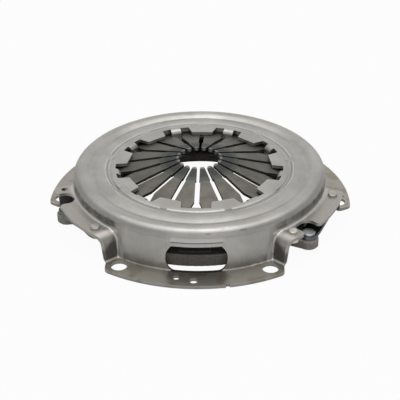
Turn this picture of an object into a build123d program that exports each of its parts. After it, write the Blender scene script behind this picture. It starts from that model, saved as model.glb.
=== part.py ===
from build123d import *
import math
import os

# Clutch cover assembly for a 190 mm passenger-car clutch. Lengths are in millimetres, angles in degrees.
# The origin is the centre of the face that bolts to the flywheel, and +Z points to the release fingers.
# Azimuths count from +X. The first bolting lobe points to -Y, and the raised ears lie between the lobes.
# "From a lobe" means counted anticlockwise from that lobe's middle line.

# ---- cover: one stamped sheet ----
sheet = 2.6                     # thickness of the cover's sheet
skirt_foot_radius = 104.6       # outer radius of the skirt at the flange
annulus_top = 35.2              # upper face of the flat annulus and its tabs
skirt_draft = 3.3               # the skirt is this much smaller at the shoulder's corner
flange_width = 18.9             # from the skirt's foot to the bolting lobes' outer edge
ear_width = 12.4                # from the skirt's foot to the raised ears' outer edge
ear_drop = 11.2                 # upper face of the ears below the annulus
lobe_root_step = 2.83           # a lobe's end edges stop this far inside the ears' outer edge
lobe_root_angle = 36.06         # from a lobe to where its end edges stop
lobe_corner = 5.0               # rounding of a lobe's outer corners
root_turn = 22.0                # slant of the trimmed edge from a lobe's root out to the ear
root_blend = 2.0                # its inside corner
root_corner = 8.0               # its outside corner
valley_step = 14.0              # shallow valley outside the annulus, its bottom this far inside the skirt
valley_depth = 1.5
valley_fall = 5.8               # width of the slope from the annulus down to its bottom
valley_brink = 20.0             # rounding where that slope starts
valley_blend = 1.5              # rounding of its bottom
crest_step = 8.6                # highest line of the rounded shoulder, this far inside the skirt
crest_rise = 1.05               # above the annulus
crest_blend = 9.0
shoulder_drop = 0.1             # the shoulder's corner below the annulus, before it is rounded
shoulder_bend = 5.6
foot_bend = 1.2                 # bend between the skirt and the flange, the risers and the ears
riser_foot_bend = 2.0           # bend between a riser and the flange
riser_top_bend = 9.0            # bend between a riser and the ear
riser_turn = 51.0               # direction of a riser's creases from the lobe's middle line
riser_inset = 0.87              # from a lobe's root to the riser's lower crease
riser_lean = 2.4                # how far the riser leans over its height

# ---- holes in the lobes and the skirt ----
lobe_count = 3
first_lobe = -90.0
bolt_inset = 10.0               # bolt circle inside the lobes' outer edge
bolt_hole = 12.6
bolt_count = 6
first_bolt = 30.0               # from a lobe
dowel_inset = 7.0               # dowel circle inside the lobes' outer edge
dowel_hole = 6.4
gauge_hole = 5.6                # one small hole, in the first lobe only
gauge_hole_inset = 10.3
gauge_hole_angle = -6.6         # from the first lobe
marker_hole = 2.4               # one smaller hole, in the second lobe only
marker_hole_inset = 5.0
marker_hole_angle = -26.0       # from the second lobe
edge_mark_angle = 11.9          # one small nick in the first lobe's edge
edge_mark = 3.2
window_angle = 0.9              # from a lobe to the middle of its window
window_width = 46.6             # opening in the skirt
window_sill = 0.8               # its lower edge below the flange's top
window_notch = 1.8              # how far it cuts out past the skirt's foot
window_height = 20.5
window_end = 13.7               # radius of its two sides
window_corner = 1.5             # its upper corners
window_low_corner = 6.0
lip_height = 4.0                # pressed land above each window
lip_depth = 0.5
lip_width = 46.0
brow_height = 4.8               # swelling of the skirt above the land
brow_rise = 0.8
brow_width = 43.0
brow_edge = 0.3

# ---- diaphragm spring and its fulcrum rings ----
spring_sheet = 2.6
spring_inset = 5.0              # the spring's outer edge inside the pressure plate's
outer_lever = 23.4              # from the fulcrum rings to the spring's outer edge
ring_wire = 3.2
ring_split = 1.6                # gap between the ends of each wire ring
upper_ring_split = 50.0         # azimuths of those gaps
lower_ring_split = 130.0
contact_gap = 0.05              # left between faces that bear on each other
cone_slope = 0.245              # rise of the unloaded spring per millimetre towards the axis
finger_tip_radius = 16.2
finger_count = 18
tip_slot = 2.3
finger_slot = 3.9
slot_step = 15.1                # the slots widen this far from the fingers' tips
finger_corner = 1.3
slot_end_hole = 8.0             # round slot ends, below the wide tabs
slot_end_inset = 6.1            # from the fulcrum rings to the middle of a round slot end
tab_hole_clearance = 0.8        # room beside and behind a curled tab in the spring
tab_hole_inset = 8.7            # full width of a curled tab's hole starts this far inside the rings
tab_hole_taper = 8.0            # length over which its slot widens to it

# ---- tabs round the cover's opening ----
tab_count = 9
first_wide_tab = 90.0
opening_inset = 2.6             # outer edge of the notches between the tabs, inside the rings
wide_tab_length = 9.6
wide_tab_root_width = 23.8
wide_tab_tip_width = 17.4
tab_corner = 0.8
curled_tab_width = 8.4
curled_tab_bend = 1.7           # inside bend where a curled tab turns down
hook_bend = 1.2                 # inside bend of its hook below the ring
hook_reach = 1.6                # how far the hook passes the middle of the lower ring
hook_corner = 0.6
groove_start = 1.7              # pressed groove that keeps the upper ring in place, outside the rings
groove_wall = 0.5               # its steep inner wall
groove_slope = 6.0              # its gentle outer wall
groove_depth = 1.1
groove_lip = 3.0                # eased inner edge, in two slopes
groove_lip_step = 1.4           # width of the steeper one
groove_lip_start = 0.2          # depth where the steeper one starts
groove_lip_depth = 0.66         # depth where the wall starts
groove_gap_angle = 4.6          # the edge is left square at each wide tab's middle
weld = 0.01                     # overlap that joins a pressed bead to the sheet

# ---- pressure plate ----
plate_gap = 5.6                 # plate's outer edge inside the skirt's foot
friction_width = 35.0
plate_face = 3.2                # height of the friction face at rest
plate_rim = 10.1                # thickness at the outer edge
plate_web = 8.2
plate_inner = 7.0               # thickness at the bore
plate_rim_land = 2.4
plate_inner_land = 4.0
plate_edge = 0.8
ridge_inset = 4.8
ridge_width = 5.4
ridge_count = 12
ridge_angle = 14.5
ridge_edge = 1.2

# ---- lugs, straps and rivets ----
ear_fixing_inset = 7.4          # rivet in the ear, inside the ear's outer edge
ear_fixing_angle = 76.3         # from a lobe
lug_reach = 12.0                # rivet in the lug, outside the plate's outer edge
lug_fixing_angle = 50.7         # from a lobe
lug_end_radius = 7.8
lug_height = 9.7                # upper face of the lug above the friction face
lug_foot = 2.0                  # lower face of the lug above the friction face
lug_root_half_width = 13.0
lug_root = 7.0                  # the lug starts this far inside the plate's outer edge
lug_edge = 0.9
leaf_count = 3
leaf_thickness = 0.9
leaf_gap = 0.02
strap_width = 12.6
strap_land = 8.6                # half length of the flat round each rivet
strap_bend = 12.0
rivet_shank = 5.6
rivet_clearance = 0.1
ear_head = 7.6
ear_head_height = 1.8
ear_tail = 8.8
ear_tail_height = 2.4
lug_head = 10.0
lug_head_height = 2.0
lug_tail = 9.0
lug_tail_depth = 1.6
head_edge = 0.5

# ---- notch and small ear ----
notch_angle = 49.3              # from a lobe to the middle of the notch
notch_width = 16.8
notch_inset = 0.8               # its bottom, inside the skirt's foot
notch_root_corner = 6.6
notch_corner = 3.0
small_ear_angle = 42.0          # from a lobe to the small hole
small_ear_hole = 5.4
balance_head = 6.8
balance_head_height = 1.8
balance_collar = 6.8
balance_collar_height = 0.6
balance_weight = 9.4
balance_weight_height = 4.4
balance_ear = 0                 # number of the ear that carries the balance rivet

# ---- derived radii ----
flange_radius = skirt_foot_radius + flange_width
ear_radius = skirt_foot_radius + ear_width
skirt_top_radius = skirt_foot_radius - skirt_draft
crest_radius = skirt_top_radius - crest_step
valley_radius = skirt_top_radius - valley_step
lobe_half_width = (ear_radius - lobe_root_step) * math.sin(math.radians(lobe_root_angle))
lobe_root = (ear_radius - lobe_root_step) * math.cos(math.radians(lobe_root_angle))
riser_foot = (lobe_root * math.sin(math.radians(riser_turn))
              - lobe_half_width * math.cos(math.radians(riser_turn)) + riser_inset)
plate_radius = skirt_foot_radius - plate_gap
plate_bore = plate_radius - friction_width
ridge_outer = plate_radius - ridge_inset
ridge_inner = ridge_outer - ridge_width
spring_radius = plate_radius - spring_inset
fulcrum_radius = spring_radius - outer_lever
opening_radius = fulcrum_radius - opening_inset
wide_tab_reach = opening_radius - wide_tab_length
groove_radius = fulcrum_radius + groove_start
slot_step_radius = finger_tip_radius + slot_step
slot_end_radius = fulcrum_radius - slot_end_inset
tab_hole_radius = fulcrum_radius - tab_hole_inset
leg_inner = opening_radius - curled_tab_bend - sheet
leg_outer = leg_inner + sheet
ear_fixing_radius = ear_radius - ear_fixing_inset
lug_fixing_radius = plate_radius + lug_reach
notch_bottom = skirt_foot_radius - notch_inset

# ---- derived heights ----
annulus_bottom = annulus_top - sheet
ear_top = annulus_top - ear_drop
ear_bottom = ear_top - sheet
crest_top = annulus_top + crest_rise
shoulder_top = annulus_top - shoulder_drop
window_bottom = sheet - window_sill
window_top = window_bottom + window_height
lip_top = window_top + lip_height
brow_top = lip_top + brow_height
ring_offset = spring_sheet / 2 + (contact_gap + ring_wire / 2) / math.cos(math.atan(cone_slope))
ring_top_height = annulus_bottom - contact_gap - ring_wire / 2
fulcrum_height = ring_top_height - ring_offset
ring_low_height = fulcrum_height - ring_offset
hook_top = ring_low_height - ring_wire / 2 - contact_gap
plate_rim_top = plate_face + plate_rim
plate_web_top = plate_face + plate_web
plate_inner_top = plate_face + plate_inner
lug_top = plate_face + lug_height
lug_bottom = plate_face + lug_foot
pack_thickness = leaf_count * leaf_thickness + (leaf_count - 1) * leaf_gap
lug_pack_top = lug_top + contact_gap + pack_thickness

# ---- derived counts, lengths and limits ----
reach = 2 * flange_radius       # long enough to cut through the whole part
underground = 4 * sheet         # the solids that are cut from each other start this far below the flange
near = foot_bend / 3            # points closer than this to the skirt lie in its creases
same = 0.01                     # lengths closer than this are taken as equal
lobe_pitch = 360.0 / lobe_count
tab_pitch = 360.0 / tab_count
finger_pitch = 360.0 / finger_count
lobe_azimuths = [first_lobe + lobe_pitch * i for i in range(lobe_count)]
wide_tab_azimuths = [first_wide_tab + tab_pitch * i for i in range(tab_count)]
curled_tab_azimuths = [a + tab_pitch / 2 for a in wide_tab_azimuths]
strap_length = math.dist(
    (lug_fixing_radius, 0),
    (ear_fixing_radius * math.cos(math.radians(ear_fixing_angle - lug_fixing_angle)),
     ear_fixing_radius * math.sin(math.radians(ear_fixing_angle - lug_fixing_angle))))
rivet_hole = rivet_shank + 2 * rivet_clearance


def spring_middle(radius):
    return fulcrum_height + cone_slope * (fulcrum_radius - radius)


def skirt_radius(height):
    slope = (skirt_foot_radius - skirt_top_radius) / (shoulder_top - sheet)
    return skirt_foot_radius - slope * (height - sheet)


def polar(radius, azimuth, height=0.0):
    angle = math.radians(azimuth)
    return Vector(radius * math.cos(angle), radius * math.sin(angle), height)


def about_axis(shape, azimuth):
    return Rot(0, 0, azimuth) * shape


def post(diameter, low, high, at):
    return Pos(at.X, at.Y, low) * Cylinder(
        diameter / 2, high - low, align=(Align.CENTER, Align.CENTER, Align.MIN))


def rounded(points, radii):
    # Flat face with straight sides, each corner rounded by its own radius.
    face = make_face(Polyline(*points, close=True).edges())
    for (x, y), radius in zip(points, radii):
        if radius:
            corner = min(face.vertices(), key=lambda v: math.hypot(v.X - x, v.Y - y))
            face = fillet(corner, radius)
    return face


def spun(face, angle=360.0):
    return revolve(Plane.XZ * face, Axis.Z, angle)


def arc_piece(face, start, angle):
    return about_axis(spun(face, angle), start)


# ---- cover ----
def dome_section():
    # Section of everything below the dome's outer surface.
    points = [
        (-reach, -underground), (-reach, annulus_top), (valley_radius - valley_fall, annulus_top),
        (valley_radius, annulus_top - valley_depth), (crest_radius, crest_top),
        (skirt_radius(shoulder_top), shoulder_top), (skirt_radius(-underground), -underground)]
    return rounded(points, [0, 0, valley_brink, valley_blend, crest_blend, shoulder_bend, 0])


def riser_section():
    # Section across a riser: flange level on the left, ear level on the right.
    points = [
        (-reach, -underground), (-reach, sheet), (-riser_foot, sheet), (riser_lean - riser_foot, ear_top),
        (reach, ear_top), (reach, -underground)]
    return rounded(points, [0, 0, riser_foot_bend, riser_top_bend, 0, 0])


def runs_along_skirt(edge, inset):
    # True for a crease between the skirt and the flange, a riser or an ear.
    for point in (edge @ 0, edge @ 0.5, edge @ 1):
        off = abs(math.hypot(point.X, point.Y) - skirt_radius(point.Z) + inset)
        if off > near or not sheet - inset - near < point.Z < ear_top + near:
            return False
    return edge.geom_type != GeomType.LINE


def pressed_block(inset):
    # Solid below the sheet's upper face (inset 0) or lower face (inset = sheet), bends included.
    dome = dome_section()
    riser = riser_section()
    if inset:
        dome = offset(dome, -inset, kind=Kind.INTERSECTION)
        riser = offset(riser, -inset, kind=Kind.INTERSECTION)
    block = spun(dome & Pos(reach, 0) * Rectangle(2 * reach, 4 * reach))
    wall = extrude(Plane.XZ * riser, reach, both=True)
    side = about_axis(Pos(reach / 2, 0) * Box(reach, 2 * reach, 4 * reach), lobe_pitch / 2)
    ear = about_axis(wall, 90 + riser_turn) & about_axis(wall, lobe_pitch - 90 - riser_turn) & side
    block += [about_axis(ear, azimuth) for azimuth in lobe_azimuths]
    bends = [edge for edge in block.edges() if runs_along_skirt(edge, inset)]
    return fillet(bends, foot_bend + inset)


def ear_notch():
    radius = notch_width / 2
    return Pos((notch_bottom + reach) / 2, 0) * rounded(
        [((notch_bottom - reach) / 2, -radius), ((reach - notch_bottom) / 2, -radius),
         ((reach - notch_bottom) / 2, radius), ((notch_bottom - reach) / 2, radius)],
        [notch_root_corner, 0, 0, notch_root_corner])


def lobe_gap():
    # What is trimmed off the ears' disc round one lobe.
    drop = reach * math.tan(math.radians(root_turn))
    far = lobe_half_width + reach
    return make_face(Polyline(
        (lobe_root, lobe_half_width), (lobe_root - drop, far), (lobe_root + reach, far),
        (lobe_root + reach, -far), (lobe_root - drop, -far), (lobe_root, -lobe_half_width),
        close=True).edges())


def corners_at(outline, radius):
    return [v for v in outline.vertices() if abs(math.hypot(v.X, v.Y) - radius) < same]


def cover_outline():
    lobe = Circle(flange_radius) & Pos(reach / 2, 0) * Rectangle(reach, 2 * lobe_half_width)
    lobe = fillet(corners_at(lobe, flange_radius), lobe_corner)
    outline = Circle(ear_radius) - [about_axis(lobe_gap(), azimuth) for azimuth in lobe_azimuths]
    outline = fillet(corners_at(outline, ear_radius), root_corner)
    outline += [about_axis(lobe, azimuth) for azimuth in lobe_azimuths]
    outline = fillet(corners_at(outline, math.hypot(lobe_root, lobe_half_width)), root_blend)
    before = [(v.X, v.Y) for v in corners_at(outline, ear_radius)]
    outline -= [about_axis(ear_notch(), azimuth + notch_angle) for azimuth in lobe_azimuths]
    mouth = [v for v in corners_at(outline, ear_radius)
             if all(math.dist((v.X, v.Y), point) > notch_corner for point in before)]
    return fillet(mouth, notch_corner)


def opening_outline():
    root = opening_radius * math.cos(math.asin(wide_tab_root_width / 2 / opening_radius))
    tab = make_face(Polyline(
        (root + sheet, -wide_tab_root_width / 2), (root, -wide_tab_root_width / 2),
        (wide_tab_reach, -wide_tab_tip_width / 2), (wide_tab_reach, wide_tab_tip_width / 2),
        (root, wide_tab_root_width / 2), (root + sheet, wide_tab_root_width / 2), close=True).edges())
    opening = Circle(opening_radius) - [about_axis(tab, azimuth) for azimuth in wide_tab_azimuths]
    return fillet(opening.vertices(), tab_corner)


def curled_tab():
    # Turns down from the annulus, passes through the spring and hooks outwards below the lower ring.
    low = hook_top - sheet
    end = fulcrum_radius + hook_reach
    points = [
        (opening_radius + sheet, annulus_bottom), (leg_outer, annulus_bottom), (leg_outer, hook_top),
        (end, hook_top), (end, low), (leg_inner, low), (leg_inner, annulus_top),
        (opening_radius + sheet, annulus_top)]
    outer = curled_tab_bend + sheet
    bends = [0, curled_tab_bend, hook_bend, hook_corner, hook_corner, hook_bend + sheet, outer, 0]
    face = rounded(points, bends)
    return extrude(Plane.XZ * face, curled_tab_width / 2, both=True)


def groove_ring(height):
    # Steep inner wall and gentle outer wall, both below the given height.
    return spun(make_face(Polyline(
        (groove_radius, height), (groove_radius + groove_wall, height - groove_depth),
        (groove_radius + groove_wall + groove_slope, height), close=True).edges()))


def groove_edge():
    # What is eased off the groove's inner edge behind one curled tab.
    end = groove_radius + groove_wall * groove_lip_depth / groove_depth
    face = make_face(Polyline(
        (groove_radius - groove_lip, annulus_top), (end - groove_lip_step, annulus_top - groove_lip_start),
        (end, annulus_top - groove_lip_depth), (end, annulus_top), close=True).edges())
    angle = tab_pitch - groove_gap_angle
    return arc_piece(face, -angle / 2, angle)


def skirt_window():
    # Oblong hole with bowed sides. Its foot cuts through the bend and a little into the flange's top.
    middle = (window_bottom + window_top) / 2
    face = Rectangle(window_width, window_height) & SlotOverall(window_width, 2 * window_end)
    face = fillet(face.vertices().group_by(Axis.Y)[0], window_low_corner)
    face = fillet(face.vertices().group_by(Axis.Y)[-1], window_corner)
    plane = Plane((0, 0, middle), x_dir=(0, 1, 0), z_dir=(1, 0, 0))
    hole = extrude(plane * face, reach)
    return hole & Cylinder(skirt_foot_radius + window_notch, 4 * annulus_top)


def window_lip():
    # Shallow pressed land above one window: the ring of skirt outside the land's surface.
    low = (window_top + window_bottom) / 2
    outside = spun(make_face(Polyline(
        (skirt_radius(low) - lip_depth, low), (skirt_radius(lip_top) - lip_depth, lip_top),
        (skirt_radius(lip_top) + sheet, lip_top), (skirt_radius(low) + sheet, low), close=True).edges()))
    return outside & Pos(reach / 2, 0) * Box(reach, lip_width, 4 * reach)


def window_brow():
    # Swelling above the land, flush with the skirt at its top.
    face = rounded(
        [(skirt_radius(lip_top) - sheet / 2, lip_top), (skirt_radius(lip_top) + brow_rise, lip_top),
         (skirt_radius(brow_top), brow_top), (skirt_radius(brow_top) - sheet / 2, brow_top)],
        [0, brow_edge, 0, 0])
    return spun(face) & Pos(reach / 2, 0) * Box(reach, brow_width, 4 * reach)


def flange_post(diameter, radius, azimuth):
    return post(diameter, -sheet, 2 * sheet, polar(radius, azimuth))


def ear_post(diameter, radius, azimuth):
    return post(diameter, ear_bottom - sheet, ear_top + sheet, polar(radius, azimuth))


def cover():
    edge = groove_edge()
    opened = window_lip() + skirt_window()
    brow = window_brow()
    tab = curled_tab()
    cuts = [extrude(opening_outline(), reach), groove_ring(annulus_top)]
    for azimuth in lobe_azimuths:
        cuts.append(about_axis(opened, azimuth + window_angle))
        cuts.append(flange_post(dowel_hole, flange_radius - dowel_inset, azimuth))
        cuts.append(ear_post(rivet_hole, ear_fixing_radius, azimuth + ear_fixing_angle))
        cuts.append(ear_post(small_ear_hole, ear_fixing_radius, azimuth + small_ear_angle))
    for i in range(bolt_count):
        azimuth = first_lobe + first_bolt + 360.0 / bolt_count * i
        cuts.append(flange_post(bolt_hole, flange_radius - bolt_inset, azimuth))
    gauge_azimuth = lobe_azimuths[0] + gauge_hole_angle
    marker_azimuth = lobe_azimuths[1] + marker_hole_angle
    cuts.append(flange_post(gauge_hole, flange_radius - gauge_hole_inset, gauge_azimuth))
    cuts.append(flange_post(marker_hole, flange_radius - marker_hole_inset, marker_azimuth))
    cuts.append(flange_post(edge_mark, flange_radius, lobe_azimuths[0] + edge_mark_angle))
    body = pressed_block(0) - pressed_block(sheet)
    body = (body & extrude(cover_outline(), reach)) - cuts
    body += groove_ring(annulus_bottom + weld)
    body += [about_axis(brow, azimuth + window_angle) for azimuth in lobe_azimuths]
    body += [about_axis(tab, azimuth) for azimuth in curled_tab_azimuths]
    return body - [about_axis(edge, azimuth) for azimuth in curled_tab_azimuths]


# ---- diaphragm spring and rings ----
def spring_slot(through_hole):
    # One slot between two fingers, along +X. Every other slot ends in the hole for a curled tab.
    narrow = Pos(slot_step_radius / 2, 0) * Rectangle(slot_step_radius, tip_slot)
    if through_hole:
        end = tab_hole_radius
        outer = leg_outer + tab_hole_clearance
        half = curled_tab_width / 2 + tab_hole_clearance
        start = tab_hole_radius - tab_hole_taper
        hole = rounded(
            [(start, -finger_slot / 2), (tab_hole_radius, -half), (outer, -half),
             (outer, half), (tab_hole_radius, half), (start, finger_slot / 2)],
            [0, hook_bend, hook_bend, hook_bend, hook_bend, 0])
    else:
        end = slot_end_radius
        hole = Pos(slot_end_radius, 0) * Circle(slot_end_hole / 2)
    wide = Pos((slot_step_radius + end) / 2, 0) * Rectangle(end - slot_step_radius, finger_slot)
    return narrow + wide + hole


def diaphragm_spring():
    low = -spring_sheet / 2
    face = make_face(Polyline(
        (0, spring_middle(0) + low), (reach, spring_middle(reach) + low),
        (reach, spring_middle(reach) - low), (0, spring_middle(0) - low), close=True).edges())
    slots = [spring_slot(False), spring_slot(True)]
    outline = Circle(spring_radius) - Circle(finger_tip_radius)
    outline -= [about_axis(slots[i % 2], first_wide_tab + finger_pitch * i) for i in range(finger_count)]
    outline = fillet(corners_at(outline, finger_tip_radius), finger_corner)
    return spun(face) & extrude(outline, reach)


def fulcrum_ring(height, split_azimuth):
    wire = Pos(fulcrum_radius, height) * Circle(ring_wire / 2)
    gap_angle = math.degrees(ring_split / fulcrum_radius)
    return arc_piece(wire, split_azimuth + gap_angle / 2, 360.0 - gap_angle)


# ---- pressure plate ----
def ridge_top():
    return spring_middle(ridge_outer - ridge_edge) - spring_sheet / 2 - contact_gap


def plate_lug():
    inner = plate_radius - lug_root
    root = make_face(Polyline(
        (inner, -lug_root_half_width), (lug_fixing_radius, -lug_end_radius),
        (lug_fixing_radius, lug_end_radius), (inner, lug_root_half_width), close=True).edges())
    face = root + Pos(lug_fixing_radius, 0) * Circle(lug_end_radius)
    lug = Pos(0, 0, lug_bottom) * extrude(face, lug_top - lug_bottom)
    rim = lug.edges().group_by(Axis.Z)[-1] + lug.edges().group_by(Axis.Z)[0]
    outside = [edge for edge in rim if math.hypot(edge.center().X, edge.center().Y) > plate_radius + lug_edge]
    return chamfer(outside, lug_edge)


def pressure_plate():
    points = [
        (plate_bore, plate_face), (plate_radius, plate_face), (plate_radius, plate_rim_top),
        (plate_radius - plate_rim_land, plate_rim_top), (ridge_inner - plate_rim_land, plate_web_top),
        (plate_bore + plate_inner_land, plate_inner_top), (plate_bore, plate_inner_top)]
    body = spun(rounded(points, [plate_edge, plate_edge, plate_edge, 0, 0, 0, plate_edge]))
    ridge = rounded(
        [(ridge_inner, plate_inner_top), (ridge_outer, plate_inner_top),
         (ridge_outer - ridge_edge, ridge_top()), (ridge_inner + ridge_edge, ridge_top())],
        [0, 0, ridge_edge, ridge_edge])
    for i in range(ridge_count):
        middle = first_lobe + 360.0 / ridge_count * i
        body += arc_piece(ridge, middle - ridge_angle / 2, ridge_angle)
    for azimuth in lobe_azimuths:
        place = polar(lug_fixing_radius, azimuth + lug_fixing_angle)
        body += about_axis(plate_lug(), azimuth + lug_fixing_angle)
        body -= post(rivet_hole, 0, ear_top, place)
        body -= post(lug_tail + 2 * rivet_clearance, 0, lug_bottom + lug_tail_depth, place)
    return body


# ---- straps ----
def strap_leaf(number):
    # One leaf of a strap pack, counted from the lowest. It runs along +X from the lug to the ear.
    half_chord = strap_length / 2
    lug_level = lug_top + contact_gap + number * (leaf_thickness + leaf_gap)
    ear_level = ear_bottom - contact_gap - pack_thickness + number * (leaf_thickness + leaf_gap)
    end = half_chord + strap_width / 2
    ramp = half_chord - strap_land
    points = [
        (-end, lug_level), (-ramp, lug_level), (ramp, ear_level), (end, ear_level),
        (end, ear_level + leaf_thickness), (ramp, ear_level + leaf_thickness),
        (-ramp, lug_level + leaf_thickness), (-end, lug_level + leaf_thickness)]
    face = rounded(points, [0, strap_bend, strap_bend, 0, 0, strap_bend, strap_bend, 0])
    leaf = extrude(Plane.XZ * face, strap_width, both=True)
    shape = SlotCenterToCenter(2 * half_chord, strap_width)
    for side in (-1, 1):
        shape -= Pos(side * half_chord, 0) * Circle(rivet_hole / 2)
    return leaf & extrude(shape, reach)


def strap_place(azimuth):
    lug_end = polar(lug_fixing_radius, azimuth + lug_fixing_angle)
    ear_end = polar(ear_fixing_radius, azimuth + ear_fixing_angle)
    return Plane(origin=(lug_end + ear_end) / 2, x_dir=ear_end - lug_end, z_dir=(0, 0, 1)).location


# ---- rivets ----
def rivet(heights, diameters, at):
    # Stepped pin: heights are the levels between the steps, diameters those of the steps.
    body = None
    for low, high, diameter in zip(heights, heights[1:], diameters):
        step = post(diameter, low, high, at)
        body = step if body is None else body + step
    ends = body.edges().group_by(Axis.Z)[-1] + body.edges().group_by(Axis.Z)[0]
    return chamfer(ends, head_edge)


def ear_rivet(azimuth):
    low = ear_bottom - 2 * contact_gap - pack_thickness
    heights = [low - ear_tail_height, low, ear_top, ear_top + ear_head_height]
    place = polar(ear_fixing_radius, azimuth + ear_fixing_angle)
    return rivet(heights, [ear_tail, rivet_shank, ear_head], place)


def lug_rivet(azimuth):
    seat = lug_bottom + lug_tail_depth
    top = lug_pack_top + contact_gap
    heights = [lug_bottom, seat, top, top + lug_head_height]
    place = polar(lug_fixing_radius, azimuth + lug_fixing_angle)
    return rivet(heights, [lug_tail, rivet_shank, lug_head], place)


def balance_rivet(azimuth):
    collar = ear_bottom - contact_gap - balance_collar_height
    heights = [collar - balance_weight_height, collar, ear_bottom - contact_gap, ear_top + contact_gap,
               ear_top + contact_gap + balance_head_height]
    shank = small_ear_hole - 2 * rivet_clearance
    place = polar(ear_fixing_radius, azimuth + small_ear_angle)
    return rivet(heights, [balance_weight, balance_collar, shank, balance_head], place)


# ---- files: one per piece ----
parts = {
    "cover": cover(),
    "diaphragm_spring": diaphragm_spring(),
    "upper_fulcrum_ring": fulcrum_ring(ring_top_height, upper_ring_split),
    "lower_fulcrum_ring": fulcrum_ring(ring_low_height, lower_ring_split),
    "pressure_plate": pressure_plate(),
    "balance_rivet": balance_rivet(lobe_azimuths[balance_ear]),
}
for number, azimuth in enumerate(lobe_azimuths, start=1):
    for leaf in range(leaf_count):
        parts[f"strap_{number}_leaf_{leaf + 1}"] = strap_place(azimuth) * strap_leaf(leaf)
    parts[f"ear_rivet_{number}"] = ear_rivet(azimuth)
    parts[f"lug_rivet_{number}"] = lug_rivet(azimuth)

os.makedirs("parts", exist_ok=True)
for name, shape in parts.items():
    export_step(shape, f"parts/{name}.step")
    print(name, "volume", round(shape.volume, 1))
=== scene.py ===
from math import asin, cos, pi, radians, sin, sqrt

import bmesh
import bpy
from mathutils import Matrix, Vector


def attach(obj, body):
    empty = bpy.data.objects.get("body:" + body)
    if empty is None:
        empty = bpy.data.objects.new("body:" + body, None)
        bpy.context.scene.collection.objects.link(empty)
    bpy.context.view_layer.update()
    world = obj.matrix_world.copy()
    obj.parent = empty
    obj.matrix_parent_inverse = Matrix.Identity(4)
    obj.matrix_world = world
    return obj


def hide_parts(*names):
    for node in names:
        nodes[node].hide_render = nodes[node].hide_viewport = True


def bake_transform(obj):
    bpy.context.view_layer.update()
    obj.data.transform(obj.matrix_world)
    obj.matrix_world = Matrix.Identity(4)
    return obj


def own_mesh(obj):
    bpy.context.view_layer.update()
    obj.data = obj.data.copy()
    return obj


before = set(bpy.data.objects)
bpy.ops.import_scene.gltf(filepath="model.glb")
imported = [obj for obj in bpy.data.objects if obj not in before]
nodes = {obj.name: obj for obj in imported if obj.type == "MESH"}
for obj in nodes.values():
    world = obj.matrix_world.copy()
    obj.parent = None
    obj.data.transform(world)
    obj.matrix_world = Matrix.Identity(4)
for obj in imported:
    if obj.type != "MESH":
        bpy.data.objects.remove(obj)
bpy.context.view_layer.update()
print("loaded", len(nodes), "nodes of the clutch cover")


# camera, floor and lights
camera = {"place": (0.0332, -0.7722, 0.4633), "turn": 2.44, "drop": 30.82, "roll": -0.47,
          "lens": 98.05, "sensor": 36, "near": 0.01, "far": 20}
studio = {
    "tentTone": (1.0, 0.995, 0.985), "sideGlow": 0.42,
    # heights on the tent: 0 is the horizon, 1 is overhead
    "crownGlow": 1.15, "crownStart": 0.62, "crownFull": 0.99,
    # how far round to the back or the front: 1 is straight behind or straight ahead
    "backGlow": 0.36, "backStart": 0.60, "backFull": 0.97,
    "frontGlow": 0.24, "frontStart": 0.55, "frontFull": 0.95,
    "floorTone": 0.62, "floorGlow": 0.95, "floorSize": 6.0,
    "softbox": {"place": (0.0, 0.05, 1.30), "aim": (0, 0, 0.03), "size": 0.5, "watts": 1.0},
}


def makeCamera():
    data = bpy.data.cameras.new("viewCamera")
    data.lens = camera["lens"]
    data.sensor_width = camera["sensor"]
    data.clip_start, data.clip_end = camera["near"], camera["far"]
    cam = bpy.data.objects.new("viewCamera", data)
    bpy.context.scene.collection.objects.link(cam)
    turn = Matrix.Rotation(radians(camera["turn"]), 4, "Z")
    tilt = Matrix.Rotation(radians(90 - camera["drop"]), 4, "X")
    roll = Matrix.Rotation(radians(camera["roll"]), 4, "Z")
    cam.matrix_world = Matrix.Translation(camera["place"]) @ turn @ tilt @ roll
    bpy.context.scene.camera = cam


def setInputs(tree, node, inputs):
    # inputs are given as values or as other nodes' outputs
    for name, value in inputs.items():
        if isinstance(value, bpy.types.NodeSocket):
            tree.links.new(value, node.inputs[name])
        else:
            node.inputs[name].default_value = value


def addNode(tree, kind, inputs=None, **settings):
    made = tree.nodes.new("ShaderNode" + kind)
    for name, value in settings.items():
        setattr(made, name, value)
    setInputs(tree, made, inputs or {})
    return made


def maths(tree, operation, first, second=None, third=None, clamp=False):
    values = {i: v for i, v in enumerate((first, second, third)) if v is not None}
    return addNode(tree, "Math", values, operation=operation, use_clamp=clamp).outputs[0]


def smoothBand(tree, value, start, end, low=0.0, high=1.0):
    # low before start, high after end, smooth between
    made = addNode(tree, "MapRange", {"Value": value, "From Min": start, "From Max": end, "To Min": low,
                                      "To Max": high}, interpolation_type="SMOOTHSTEP")
    return made.outputs["Result"]


def band(tree, value, start, end, soft):
    # 1 between start and end, 0 outside, with soft sides
    rise = smoothBand(tree, value, start - soft, start + soft)
    return maths(tree, "MULTIPLY", rise, smoothBand(tree, value, end + soft, end - soft))


def product(tree, first, *others):
    for other in others:
        first = maths(tree, "MULTIPLY", first, other)
    return first


def mixColour(tree, factor, first, second, blend="MIX"):
    made = addNode(tree, "Mix", {0: factor, 6: first, 7: second}, data_type="RGBA", blend_type=blend)
    return made.outputs[2]


def shade(tree, colour, mask, share):
    # colour scaled to its share where the mask is 1
    kept = smoothBand(tree, mask, 0.0, 1.0, 1.0, share)
    grey = addNode(tree, "CombineColor", {0: kept, 1: kept, 2: kept}).outputs[0]
    return mixColour(tree, 1.0, colour, grey, "MULTIPLY")


def tone(red, green, blue):
    return (red, green, blue, 1.0)


def link(tree, start, end):
    tree.links.new(start, end)


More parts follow.
